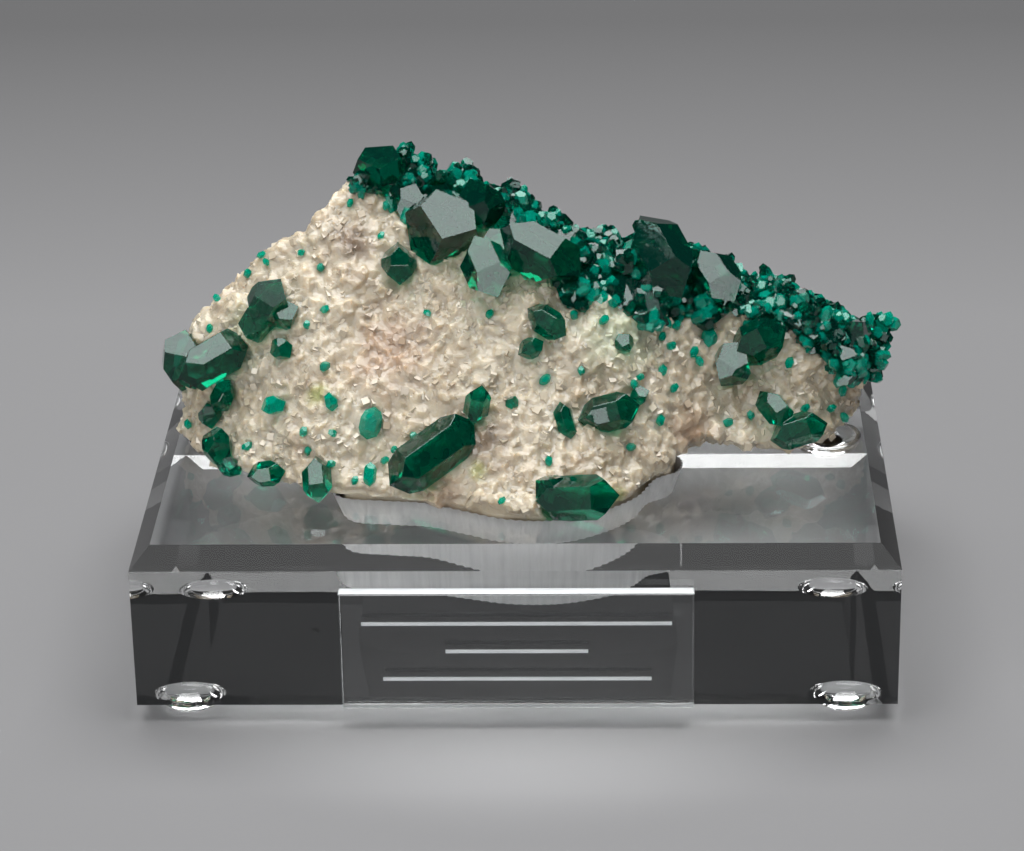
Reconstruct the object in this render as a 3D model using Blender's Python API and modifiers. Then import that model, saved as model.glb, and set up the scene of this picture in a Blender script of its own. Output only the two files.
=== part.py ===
"""Dioptase crystals on a loose piece of drusy calcite, seated in a clear acrylic base."""

import math
import random

import bmesh
import bpy
import numpy as np
from mathutils import Matrix, Vector, noise
from mathutils.bvhtree import BVHTree

# All lengths are in metres. X runs along the label, Y goes back, Z is up.

MM = 0.001

# Acrylic base: sheet stock with a chamfered top.
BLOCK_WIDTH = 114.3 * MM
BLOCK_DEPTH = 71.4 * MM
BLOCK_HEIGHT = 25.4 * MM
BLOCK_CHAMFER = 3.0 * MM
BLOCK_BOTTOM = 3.0 * MM
BLOCK_TOP = BLOCK_BOTTOM + BLOCK_HEIGHT

# Soft domed feet under the base.
FOOT_RADIUS = 5.55 * MM
FOOT_FLAT_RADIUS = 2.6 * MM
FOOT_HEIGHT = 2.75 * MM
FOOT_ACROSS = 49.6 * MM
FOOT_FRONT_INSET = 6.2 * MM
FOOT_REAR_INSET = 9.8 * MM
FOOT_SIDES = 16
FOOT_RINGS = 3

# Label plate glued to the front face.
LABEL_WIDTH = 52.6 * MM
LABEL_HEIGHT = 19.1 * MM
LABEL_THICKNESS = 2.2 * MM
LABEL_LIFT = 0.7 * MM
LABEL_CENTRE_X = 0.3 * MM

# Gap left between two pieces that touch in the real object.
SEAT_GAP = 0.3 * MM

# Pocket milled in the top of the base, as its plan outline (millimetres from the front face).
POCKET_FLOOR = BLOCK_BOTTOM + 13.4 * MM
POCKET_TAPER = 0.94
POCKET_CENTRE = (-0.5, 29.0)
POCKET_PLAN = (
    (-27.0, 19.5),
    (-20.0, 18.0),
    (-14.0, 17.2),
    (-8.0, 14.4),
    (-2.0, 11.6),
    (4.0, 10.8),
    (9.0, 11.9),
    (14.5, 15.3),
    (18.5, 19.6),
    (21.0, 25.4),
    (24.4, 28.2),
    (25.2, 32.4),
    (22.6, 36.2),
    (16.0, 38.4),
    (7.0, 39.3),
    (-5.0, 39.5),
    (-16.0, 38.8),
    (-24.0, 36.6),
    (-28.2, 32.2),
    (-29.0, 26.4),
)

# The specimen is laid out on a sheet held square to the line of sight of a seated viewer.
# Sheet positions are in steps of 1/6.5 mm, across to the right and down, from its top left.
EYE = Vector((15.784, -468.061, 255.823)) * MM
EYE += Vector((0.0, -BLOCK_DEPTH / 2.0, BLOCK_BOTTOM))
EYE_PITCH = math.radians(24.141)
EYE_YAW = math.radians(-1.918)
EYE_ROLL = math.radians(-1.012)
SHEET_DISTANCE = 545.0 * MM
SHEET_STEP = SHEET_DISTANCE / 3542.0
SHEET_MIDDLE = (512.0, 425.5)

# Outline of the calcite on the sheet, clockwise from its upper left shoulder.
STONE_MIDDLE = (500.0, 350.0)
STONE_OUTLINE = (
    (350, 184),
    (335, 195),
    (320, 210),
    (300, 228),
    (270, 247),
    (240, 270),
    (230, 290),
    (221, 305),
    (202, 323),
    (196, 345),
    (188, 365),
    (184, 397),
    (189, 430),
    (188, 441),
    (200, 453),
    (240, 475),
    (262, 482),
    (290, 480),
    (305, 488),
    (345, 500),
    (430, 504),
    (468, 511),
    (520, 519),
    (560, 520),
    (590, 515),
    (621, 506),
    (640, 485),
    (665, 465),
    (680, 449),
    (694, 445),
    (739, 440),
    (767, 447),
    (788, 453),
    (801, 448),
    (826, 430),
    (847, 424),
    (853, 411),
    (861, 390),
    (872, 375),
    (874, 345),
    (862, 325),
    (835, 322),
    (800, 314),
    (765, 301),
    (738, 291),
    (715, 274),
    (690, 264),
    (650, 245),
    (600, 244),
    (560, 228),
    (510, 200),
    (470, 184),
    (430, 184),
    (400, 174),
    (370, 172),
)

# Front of the stone: where its face meets the base in plan, and how far it leans back.
FACE_X = (-60.0, -53.0, -49.0, -44.0, -39.0, -30.0, -20.0, -8.0, 3.0)
FACE_X += (12.0, 20.0, 26.0, 34.0, 44.0, 52.0, 60.0)
FACE_Y = (42.0, 34.5, 30.5, 26.8, 23.2, 18.0, 16.0, 13.0, 10.3)
FACE_Y += (12.3, 17.5, 23.0, 28.5, 32.5, 37.0, 44.0)
LEAN_X = (-60.0, -40.0, -20.0, 10.0, 30.0, 50.0, 60.0)
LEAN = (0.25, 0.60, 0.86, 0.88, 0.72, 0.45, 0.28)
STONE_BACK_Y = 61.0
# The back falls away towards both ends by this much per square millimetre from the middle
STONE_BACK_CURVE = 0.0019
STONE_LEAST_DEPTH = 4.0 * MM
# How squarely the rim is filled out, and where the widest section lies between face and back
STONE_FULLNESS = 0.42
STONE_WAIST = 0.32
STONE_UNDERSIDE = BLOCK_TOP + 0.6 * MM

STONE_GRAIN = 1.0 * MM
STONE_TRIANGLES = 2800
# Relief of the calcite, as waves per millimetre and height in millimetres
ROLL_PITCH, ROLL_HEIGHT = 0.055, 2.2
KNOB_PITCH, KNOB_HEIGHT = 0.16, 1.1
LEDGE_PITCH, LEDGE_HEIGHT, LEDGE_DROP = 0.21, 1.2, 0.5
LEVEL_RIM = 0.3 * MM
LEVEL_FADE = 2.0 * MM
SEED = 27

# Lower edge of the crust of crystals that closes over the crest.
CRUST_THICKNESS = 0.9 * MM
CRUST_NEAR = 0.90
CRUST_FAR = 1.034
CRUST_PARTING = 2.0
CRUST_FAR_STEP = 0.0003
CRUST_CORNERS = [(902, 100), (352, 100)]
CRUST_TRIANGLES = 1700
CRUST_EDGE = (
    (352, 172),
    (388, 186),
    (402, 216),
    (440, 226),
    (476, 216),
    (500, 236),
    (560, 244),
    (572, 268),
    (592, 296),
    (628, 306),
    (664, 320),
    (702, 316),
    (726, 302),
    (744, 312),
    (772, 314),
    (792, 330),
    (822, 346),
    (846, 372),
    (902, 384),
)

# A body with less surface than this is a crumb left by a cut.
CRUMB_AREA = 4.0e-6

# Large boxes and overlaps used in the cuts
CUT_SPAN = 200.0 * MM
CUT_DEPTH = 40.0 * MM
CUT_OVERLAP = 2.0 * MM
# The tongue keeps clear of the pocket's slanting wall by more than the bare gap
TONGUE_CLEARANCE = 1.6 * SEAT_GAP

# Crest of the specimen, where a crust of crystals closes up between the large ones.
CREST_SPACING = 23.0
CREST = (
    (396, 160),
    (425, 174),
    (455, 176),
    (500, 194),
    (525, 203),
    (545, 216),
    (570, 232),
    (592, 238),
    (612, 243),
    (632, 238),
    (662, 244),
    (700, 264),
    (732, 278),
    (750, 292),
    (780, 300),
    (805, 308),
    (835, 320),
    (862, 326),
)

# Angle between a crystal's long axis and the normals of its end faces.
END_FACE_ANGLE = math.radians(50.5)


def clear_scene():
    for item in list(bpy.data.objects):
        bpy.data.objects.remove(item, do_unlink=True)
    for item in list(bpy.data.collections):
        bpy.data.collections.remove(item)


def make_collection(name, hidden=False):
    group = bpy.data.collections.new(name)
    bpy.context.scene.collection.children.link(group)
    group.hide_render = hidden
    return group


def make_material(name, colour, roughness, transmission, ior):
    material = bpy.data.materials.new(name)
    material.use_nodes = True
    shader = material.node_tree.nodes["Principled BSDF"]
    shader.inputs["Base Color"].default_value = (*colour, 1.0)
    shader.inputs["Roughness"].default_value = roughness
    shader.inputs["Transmission Weight"].default_value = transmission
    shader.inputs["IOR"].default_value = ior
    material.diffuse_color = (*colour, 1.0)
    return material


def object_from_bmesh(bm, name, collection, material=None):
    bmesh.ops.recalc_face_normals(bm, faces=bm.faces)
    mesh = bpy.data.meshes.new(name)
    bm.to_mesh(mesh)
    bm.free()
    item = bpy.data.objects.new(name, mesh)
    collection.objects.link(item)
    if material is not None:
        mesh.materials.append(material)
    return item


def apply_modifiers(item):
    bpy.context.view_layer.update()
    graph = bpy.context.evaluated_depsgraph_get()
    mesh = bpy.data.meshes.new_from_object(item.evaluated_get(graph))
    old = item.data
    item.modifiers.clear()
    item.data = mesh
    bpy.data.meshes.remove(old)


def boolean(item, other, operation, inner_overlaps=False):
    step = item.modifiers.new(operation.lower(), "BOOLEAN")
    step.object = other
    step.operation = operation
    step.solver = "EXACT"
    step.use_self = inner_overlaps
    apply_modifiers(item)


def tidy_mesh(item):
    """Merge doubles and turn every face into triangles."""
    bm = bmesh.new()
    bm.from_mesh(item.data)
    bmesh.ops.remove_doubles(bm, verts=bm.verts, dist=0.000002)
    bmesh.ops.dissolve_degenerate(bm, edges=bm.edges, dist=0.000002)
    bmesh.ops.triangulate(bm, faces=bm.faces)
    bmesh.ops.recalc_face_normals(bm, faces=bm.faces)
    bm.to_mesh(item.data)
    bm.free()


def face_islands(bm):
    """Groups of faces that hang together."""
    waiting = set(bm.faces)
    groups = []
    while waiting:
        stack = [waiting.pop()]
        group = []
        while stack:
            face = stack.pop()
            group.append(face)
            for edge in face.edges:
                for near in edge.link_faces:
                    if near in waiting:
                        waiting.remove(near)
                        stack.append(near)
        groups.append(group)
    return groups


def keep_main_body(item):
    """Drop crumbs that a cut has parted from the main body."""
    bm = bmesh.new()
    bm.from_mesh(item.data)
    groups = sorted(face_islands(bm), key=len, reverse=True)
    for group in groups[1:]:
        bmesh.ops.delete(bm, geom=group, context="FACES")
    bm.to_mesh(item.data)
    bm.free()


def split_bodies(item, collection, material):
    """Give each body that stands alone its own name, and drop crumbs."""
    bm = bmesh.new()
    bm.from_mesh(item.data)
    sizes = []
    for group in face_islands(bm):
        area = sum(face.calc_area() for face in group)
        sizes.append((area, min(face.index for face in group)))
    bm.free()
    sizes.sort(reverse=True)
    for order, (area, first) in enumerate(sizes):
        if order > 0 and area > CRUMB_AREA:
            own_body(item, first, f"{item.name}_{order + 1}", collection, material)
    own_body(item, sizes[0][1], None, collection, material)


def own_body(item, first, name, collection, material):
    """Keep only the body that holds one face, in a new object or in place."""
    bm = bmesh.new()
    bm.from_mesh(item.data)
    bm.faces.ensure_lookup_table()
    others = []
    for group in face_islands(bm):
        if first not in [face.index for face in group]:
            others.extend(group)
    bmesh.ops.delete(bm, geom=others, context="FACES")
    if name is None:
        bm.to_mesh(item.data)
        bm.free()
    else:
        object_from_bmesh(bm, name, collection, material)


# Layout sheet

def sheet_axes():
    """Right, up and forward of the layout sheet."""
    cos_p, sin_p = math.cos(EYE_PITCH), math.sin(EYE_PITCH)
    cos_y, sin_y = math.cos(EYE_YAW), math.sin(EYE_YAW)
    forward = Vector((sin_y * cos_p, cos_y * cos_p, -sin_p))
    level = Vector((cos_y, -sin_y, 0.0))
    rise = level.cross(forward)
    right = level * math.cos(EYE_ROLL) + rise * math.sin(EYE_ROLL)
    up = rise * math.cos(EYE_ROLL) - level * math.sin(EYE_ROLL)
    return right, up, forward


RIGHT, UP, FORWARD = sheet_axes()


def sheet_point(x, y):
    """Place on the sheet, relative to the eye."""
    across = (x - SHEET_MIDDLE[0]) * SHEET_STEP
    down = (y - SHEET_MIDDLE[1]) * SHEET_STEP
    return FORWARD * SHEET_DISTANCE + RIGHT * across - UP * down


def outline_reach(angle):
    """Distance from the stone's middle to its outline, in sheet steps."""
    ux, uy = math.cos(angle), math.sin(angle)
    best = 0.0
    count = len(STONE_OUTLINE)
    for index in range(count):
        ax, ay = STONE_OUTLINE[index]
        bx, by = STONE_OUTLINE[(index + 1) % count]
        ax, ay = ax - STONE_MIDDLE[0], ay - STONE_MIDDLE[1]
        bx, by = bx - STONE_MIDDLE[0], by - STONE_MIDDLE[1]
        ex, ey = bx - ax, by - ay
        cross = ux * ey - uy * ex
        if abs(cross) < 1e-9:
            continue
        along = (ax * ey - ay * ex) / cross
        part = (ax * uy - ay * ux) / cross
        if -1e-6 <= part <= 1.0 + 1e-6 and along > best:
            best = along
    return best


def face_reach(ray):
    """Share of a sight line at which it meets the sloping front of the stone."""
    share = 1.0
    for _ in range(6):
        x = (EYE.x + share * ray.x) / MM
        start = np.interp(x, FACE_X, FACE_Y) * MM - BLOCK_DEPTH / 2.0
        lean = float(np.interp(x, LEAN_X, LEAN))
        share = (start - lean * (BLOCK_TOP - EYE.z) - EYE.y) / (ray.y - lean * ray.z)
    return share


def back_reach(ray):
    """Share of a sight line at which it leaves the back or the underside."""
    x = (EYE.x + ray.x) / MM
    back = (STONE_BACK_Y - STONE_BACK_CURVE * x * x) * MM - BLOCK_DEPTH / 2.0
    by_back = (back - EYE.y) / ray.y
    by_underside = (STONE_UNDERSIDE - EYE.z) / ray.z
    return min(by_back, by_underside)


# Calcite

def lumps(point):
    """Rolling relief of the calcite with small ledges and pits."""
    spot = point / MM
    roll = noise.noise(spot * ROLL_PITCH + Vector((3.1, 7.7, SEED))) * ROLL_HEIGHT
    knobs = noise.noise(spot * KNOB_PITCH + Vector((9.4, 1.3, SEED))) * KNOB_HEIGHT
    cells = noise.voronoi(spot * LEDGE_PITCH + Vector((5.0, SEED, 2.0)))[0]
    ledges = (cells[1] - cells[0]) * LEDGE_HEIGHT - LEDGE_DROP
    return (roll + knobs + ledges) * MM


def stone_vertex(direction):
    """Map a point of a unit ball onto the stone."""
    across, up, near = direction
    rho = min(1.0, math.hypot(across, up))
    angle = math.atan2(-up, across)
    reach = outline_reach(angle) * rho
    x = STONE_MIDDLE[0] + reach * math.cos(angle)
    y = STONE_MIDDLE[1] + reach * math.sin(angle)
    ray = sheet_point(x, y)
    front = face_reach(ray)
    back = max(back_reach(ray), front + STONE_LEAST_DEPTH / SHEET_DISTANCE)
    fullness = math.copysign(abs(near) ** STONE_FULLNESS, near)
    middle = front + (back - front) * STONE_WAIST
    if fullness > 0.0:
        share = middle + (front - middle) * fullness
    else:
        share = middle - (back - middle) * fullness
    return EYE + ray * share


def make_stone(collection, trims, material):
    bm = bmesh.new()
    bmesh.ops.create_icosphere(bm, subdivisions=5, radius=1.0)
    for vert in bm.verts:
        vert.co = stone_vertex(vert.co.normalized())
    stone = object_from_bmesh(bm, "calcite_matrix", collection, material)
    slab = make_box(
        "underside_cut",
        trims,
        Vector((0.0, 0.0, STONE_UNDERSIDE - CUT_DEPTH / 2.0)),
        Vector((CUT_SPAN, CUT_SPAN, CUT_DEPTH)),
    )
    boolean(stone, slab, "DIFFERENCE")
    step = stone.modifiers.new("even_skin", "REMESH")
    step.mode = "VOXEL"
    step.voxel_size = STONE_GRAIN
    apply_modifiers(stone)
    roughen(stone)
    crust = make_crust(stone, trims, trims)
    thin_out(stone, STONE_TRIANGLES)
    tongue = make_pocket_solid(
        "tongue",
        trims,
        POCKET_FLOOR + SEAT_GAP,
        STONE_UNDERSIDE + CUT_OVERLAP,
        -TONGUE_CLEARANCE,
    )
    boolean(stone, tongue, "UNION")
    keep_main_body(stone)
    return stone, crust


def make_prism(name, collection, outline, near, far):
    """Solid between two distances along the sight lines of an outline."""
    bm = bmesh.new()
    ring = bmesh.ops.create_circle(bm, cap_ends=True, segments=len(outline), radius=1.0)
    rays = [sheet_point(x, y) for x, y in outline]
    for vert, ray in zip(ring["verts"], rays):
        vert.co = EYE + ray * near
    grown = bmesh.ops.extrude_face_region(bm, geom=bm.faces[:])
    fresh = [part for part in grown["geom"] if isinstance(part, bmesh.types.BMVert)]
    for vert in fresh:
        vert.co = EYE + (vert.co - EYE) * (far / near)
    return object_from_bmesh(bm, name, collection)


def crust_prism(name, collection, drop):
    """Everything above the lower edge of the crust, with that edge moved down a little."""
    outline = [(x, y + drop) for x, y in CRUST_EDGE]
    outline += CRUST_CORNERS
    far = CRUST_FAR + drop * CRUST_FAR_STEP
    return make_prism(name, collection, outline, CRUST_NEAR, far)


def make_crust(stone, collection, trims):
    """The skin of the crest as a body of its own, parted from the stone."""
    bm = bmesh.new()
    bm.from_mesh(stone.data)
    bm.normal_update()
    places = [vert.co + vert.normal * CRUST_THICKNESS for vert in bm.verts]
    for vert, place in zip(bm.verts, places):
        vert.co = place
    crust = object_from_bmesh(bm, "crust", collection)
    thin_out(crust, CRUST_TRIANGLES)
    boolean(crust, crust_prism("crust_bounds", trims, 0.0), "INTERSECT")
    keep_main_body(crust)
    return crust


def thin_out(item, triangles):
    """Collapse a dense body to about so many triangles."""
    count = sum(len(face.vertices) - 2 for face in item.data.polygons)
    step = item.modifiers.new("coarser", "DECIMATE")
    step.ratio = triangles / count
    apply_modifiers(item)


def roughen(stone):
    """Raise the lumps, leaving the level underside flat."""
    bm = bmesh.new()
    bm.from_mesh(stone.data)
    bm.normal_update()
    places = []
    for vert in bm.verts:
        clear = (vert.co.z - STONE_UNDERSIDE - LEVEL_RIM) / LEVEL_FADE
        share = max(0.0, min(1.0, clear))
        places.append(vert.co + vert.normal * lumps(vert.co) * share)
    for vert, place in zip(bm.verts, places):
        vert.co = place
    bm.to_mesh(stone.data)
    bm.free()


# Acrylic base

def make_box(name, collection, centre, size, material=None):
    bm = bmesh.new()
    bmesh.ops.create_cube(bm, size=1.0)
    bmesh.ops.scale(bm, vec=size, verts=bm.verts)
    bmesh.ops.translate(bm, vec=centre, verts=bm.verts)
    return object_from_bmesh(bm, name, collection, material)


def make_pocket_solid(name, collection, low, high, growth):
    """A tapered plug with the pocket's plan, grown or shrunk all round."""
    bm = bmesh.new()
    ring = bmesh.ops.create_circle(bm, cap_ends=True, segments=len(POCKET_PLAN), radius=1.0)
    centre = Vector(POCKET_CENTRE)
    plan = []
    for x, y in POCKET_PLAN:
        arm = Vector((x, y)) - centre
        plan.append(centre * MM + arm.normalized() * (arm.length * MM + growth))
    for vert, place in zip(ring["verts"], plan):
        vert.co = (place.x, place.y - BLOCK_DEPTH / 2.0, high)
    lower = bmesh.ops.extrude_face_region(bm, geom=bm.faces[:])
    fresh = [part for part in lower["geom"] if isinstance(part, bmesh.types.BMVert)]
    depth = (high - low) / (BLOCK_TOP - POCKET_FLOOR)
    shrink = 1.0 - (1.0 - POCKET_TAPER) * depth
    pivot = Vector((centre.x * MM, centre.y * MM - BLOCK_DEPTH / 2.0))
    for vert in fresh:
        flat = pivot + (vert.co.xy - pivot) * shrink
        vert.co = (flat.x, flat.y, low)
    return object_from_bmesh(bm, name, collection)


def make_block(collection, trims, material):
    bm = bmesh.new()
    bmesh.ops.create_cube(bm, size=1.0)
    bmesh.ops.scale(bm, vec=(BLOCK_WIDTH, BLOCK_DEPTH, BLOCK_HEIGHT), verts=bm.verts)
    middle = BLOCK_BOTTOM + BLOCK_HEIGHT / 2.0
    bmesh.ops.translate(bm, vec=(0.0, 0.0, middle), verts=bm.verts)
    rim = [edge for edge in bm.edges if all(vert.co.z > middle for vert in edge.verts)]
    bmesh.ops.bevel(
        bm,
        geom=rim,
        offset=BLOCK_CHAMFER,
        segments=1,
        profile=0.5,
        affect="EDGES",
        material=-1,
    )
    block = object_from_bmesh(bm, "acrylic_block", collection, material)
    pocket = make_pocket_solid(
        "pocket_cut",
        trims,
        POCKET_FLOOR,
        BLOCK_TOP + 1.0 * MM,
        0.0,
    )
    boolean(block, pocket, "DIFFERENCE")
    return block


def make_foot(name, collection, x, y, material):
    """A low dome standing on a small flat."""
    bm = bmesh.new()
    bmesh.ops.create_circle(bm, cap_ends=True, segments=FOOT_SIDES, radius=FOOT_RADIUS)
    bmesh.ops.translate(bm, vec=(x, y, FOOT_HEIGHT), verts=bm.verts)
    centre = Vector((x, y, 0.0))
    face = bm.faces[:]
    drop_angle = math.acos(FOOT_FLAT_RADIUS / FOOT_RADIUS)
    last_radius = FOOT_RADIUS
    for ring in range(1, FOOT_RINGS + 1):
        angle = drop_angle * ring / FOOT_RINGS
        radius = FOOT_RADIUS * math.cos(angle)
        level = FOOT_HEIGHT * (1.0 - math.sin(angle) / math.sin(drop_angle))
        grown = bmesh.ops.extrude_face_region(bm, geom=face)
        fresh = [part for part in grown["geom"] if isinstance(part, bmesh.types.BMVert)]
        if ring > 1:
            bmesh.ops.delete(bm, geom=face, context="FACES_ONLY")
        face = [part for part in grown["geom"] if isinstance(part, bmesh.types.BMFace)]
        ratio = radius / last_radius
        for vert in fresh:
            flat = centre.xy + (vert.co.xy - centre.xy) * ratio
            vert.co = (flat.x, flat.y, level)
        last_radius = radius
    for side in bm.faces:
        side.smooth = len(side.verts) == 4
    return object_from_bmesh(bm, name, collection, material)


def make_feet(collection, material):
    front = -BLOCK_DEPTH / 2.0 + FOOT_FRONT_INSET
    rear = BLOCK_DEPTH / 2.0 - FOOT_REAR_INSET
    for row, y in (("front", front), ("rear", rear)):
        for side, sign in (("left", -1.0), ("right", 1.0)):
            make_foot(f"foot_{row}_{side}", collection, sign * FOOT_ACROSS, y, material)


def make_label(collection, material):
    centre = Vector((
        LABEL_CENTRE_X,
        -BLOCK_DEPTH / 2.0 - SEAT_GAP - LABEL_THICKNESS / 2.0,
        BLOCK_BOTTOM + LABEL_LIFT + LABEL_HEIGHT / 2.0,
    ))
    size = Vector((LABEL_WIDTH, LABEL_THICKNESS, LABEL_HEIGHT))
    make_box("label_plate", collection, centre, size, material)


# Dioptase

def cut_end(bm, normal, distance):
    """Cut away everything beyond a plane and close the body again."""
    bmesh.ops.bisect_plane(
        bm,
        geom=bm.verts[:] + bm.edges[:] + bm.faces[:],
        dist=1e-7,
        plane_co=normal * distance,
        plane_no=normal,
        clear_outer=True,
    )
    rim = [edge for edge in bm.edges if edge.is_boundary]
    if rim:
        bmesh.ops.edgeloop_fill(bm, edges=rim)


def crystal_body(length, width, uneven, growth):
    """Six-sided prism closed by three sloping faces at each end, along Z."""
    bm = bmesh.new()
    radius = width / 2.0 + growth / math.cos(math.radians(30.0))
    bmesh.ops.create_cone(
        bm,
        cap_ends=True,
        segments=6,
        radius1=radius,
        radius2=radius,
        depth=length * 1.1 + 4.0 * growth,
    )
    slope = math.cos(END_FACE_ANGLE)
    for index, share in enumerate(uneven):
        end = 1.0 if index < 3 else -1.0
        angle = math.radians(120.0 * index + (0.0 if end > 0.0 else 60.0))
        normal = Vector((
            math.sin(END_FACE_ANGLE) * math.cos(angle),
            math.sin(END_FACE_ANGLE) * math.sin(angle),
            end * slope,
        ))
        cut_end(bm, normal, length / 2.0 * slope * share + growth)
    return bm


def crystal_turn(lean, tilt, spin):
    """Rotation that takes the crystal's long axis to its lean on the sheet."""
    lean, tilt, spin = math.radians(lean), math.radians(tilt), math.radians(spin)
    along = RIGHT * math.cos(lean) + UP * math.sin(lean)
    axis = along * math.cos(tilt) - FORWARD * math.sin(tilt)
    side = axis.cross(-FORWARD)
    if side.length < 1e-3:
        side = axis.cross(UP)
    side.normalize()
    other = axis.cross(side)
    basis = Matrix((side, other, axis)).transposed()
    return basis @ Matrix.Rotation(spin, 3, "Z")


def surface_place(tree, x, y, lift):
    """Point where a sight line meets the stone, or passes nearest to it."""
    ray = sheet_point(x, y)
    way = ray.normalized()
    hit = tree.ray_cast(EYE, way)
    if hit[0] is None:
        best = None
        for step in range(90):
            probe = EYE + ray * (0.94 + 0.002 * step)
            gap = tree.find_nearest(probe)[3]
            if best is None or gap < best[0]:
                best = (gap, probe)
        place = best[1]
    else:
        place = hit[0]
    return place - way * lift


class Grower:
    """Grows crystals on the stone and gathers them into named clusters."""

    def __init__(self, stone, collection, trims, material):
        graph = bpy.context.evaluated_depsgraph_get()
        self.tree = BVHTree.FromObject(stone, graph)
        self.stone = stone
        self.floor = make_box(
            "clearance_cut",
            trims,
            Vector((0.0, 0.0, BLOCK_TOP + SEAT_GAP - CUT_DEPTH / 2.0)),
            Vector((CUT_SPAN, CUT_SPAN, CUT_DEPTH)),
        )
        self.collection = collection
        self.trims = trims
        self.material = material
        self.chance = random.Random(SEED)

    def crystal(self, x, y, length, width, lean, tilt=0.0, spin=0.0, lift=0.0):
        """One crystal; its position and sizes are in sheet steps, lift in millimetres."""
        place = surface_place(self.tree, x, y, lift * MM)
        distance = (place - EYE).dot(FORWARD)
        step = SHEET_STEP * distance / SHEET_DISTANCE
        turn = Matrix.Translation(place) @ crystal_turn(lean, tilt, spin).to_4x4()
        uneven = [1.0 + self.chance.uniform(-0.10, 0.08) for _ in range(6)]
        return length * step, width * step, uneven, turn

    def solid(self, name, crystals, collection, growth, whole=None):
        """Union of the crystals, each swollen by the same growth."""
        for index, (length, width, uneven, turn) in enumerate(crystals):
            bm = crystal_body(length, width, uneven, growth)
            bmesh.ops.transform(bm, matrix=turn, verts=bm.verts)
            if whole is None:
                whole = object_from_bmesh(bm, name, collection, self.material)
            else:
                part = object_from_bmesh(bm, f"{name}_part_{index}", self.trims)
                boolean(whole, part, "UNION")
                bpy.data.objects.remove(part, do_unlink=True)
        return whole

    def cluster(self, name, crystals, base=None):
        """Join crystals into one solid and sink a socket for it in the stone."""
        item = self.solid(name, crystals, self.collection, 0.0, base)
        boolean(item, self.floor, "DIFFERENCE")
        tidy_mesh(item)
        split_bodies(item, self.collection, self.material)
        socket = self.solid(name + "_socket", crystals, self.trims, SEAT_GAP)
        boolean(self.stone, socket, "DIFFERENCE")
        keep_main_body(self.stone)


def ridge_crystals(grow):
    """The crust along the crest and the large crystals grown into it."""
    one = grow.crystal
    crystals = [
        one(381, 171, 66, 56, 180, 88, 4, 1.6),
        one(360, 186, 20, 17, 30, 20, 0, 1.5),
        one(402, 160, 26, 22, 140, 20, 10, 0.5),
        one(408, 205, 44, 34, 70, 10, 30, 1.0),
        one(424, 186, 46, 34, 20, 10, 20, 1.0),
        one(442, 228, 86, 80, -90, 72, 8, 3.0),
        one(482, 206, 62, 48, 115, 10, 10, 3.0),
        one(487, 266, 78, 50, -66, 28, 28, 5.0),
        one(538, 254, 100, 60, -29, 14, 0, 4.5),
        one(500, 245, 42, 40, 60, 30, 0, 4.0),
        one(661, 256, 108, 60, -63, 24, 40, 4.5),
        one(716, 276, 72, 46, -58, 26, 30, 4.0),
        one(704, 308, 38, 30, -85, 10, 30, 2.0),
        one(653, 308, 44, 25, -80, 20, 30, 3.0),
        one(575, 292, 38, 22, -82, 0, 0, 2.0),
        one(764, 289, 34, 26, 70, 30, 0, 1.5),
        one(855, 334, 44, 40, 60, 50, 10, 3.0),
        one(872, 330, 44, 32, 20, 10, 30, 1.0),
        one(824, 332, 46, 34, -20, 15, 0, 2.0),
        one(806, 322, 34, 28, 10, 30, 25, 2.5),
        one(845, 362, 44, 34, -60, 25, 10, 3.0),
        one(872, 357, 30, 28, -20, 25, 20, 1.5),
        one(795, 318, 28, 24, 50, 20, 0, 1.5),
        one(758, 342, 62, 44, 28, 12, 25, 3.0),
        one(733, 364, 52, 42, 62, 20, 10, 3.0),
    ]
    chance = random.Random(SEED + 5)
    count = int((CREST[-1][0] - CREST[0][0]) / CREST_SPACING)
    for index in range(count + 1):
        x = CREST[0][0] + index * CREST_SPACING
        y = float(np.interp(x, [spot[0] for spot in CREST], [spot[1] for spot in CREST]))
        drop = 2.0 if index % 2 else 24.0
        size = chance.uniform(25.0, 31.0)
        crystals.append(one(
            x + chance.uniform(-3.0, 3.0),
            y + drop + chance.uniform(-2.0, 4.0),
            size * 1.25,
            size,
            chance.uniform(0.0, 180.0),
            chance.uniform(-20.0, 60.0),
            chance.uniform(0.0, 60.0),
            chance.uniform(0.2, 1.0),
        ))
    return crystals


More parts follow.
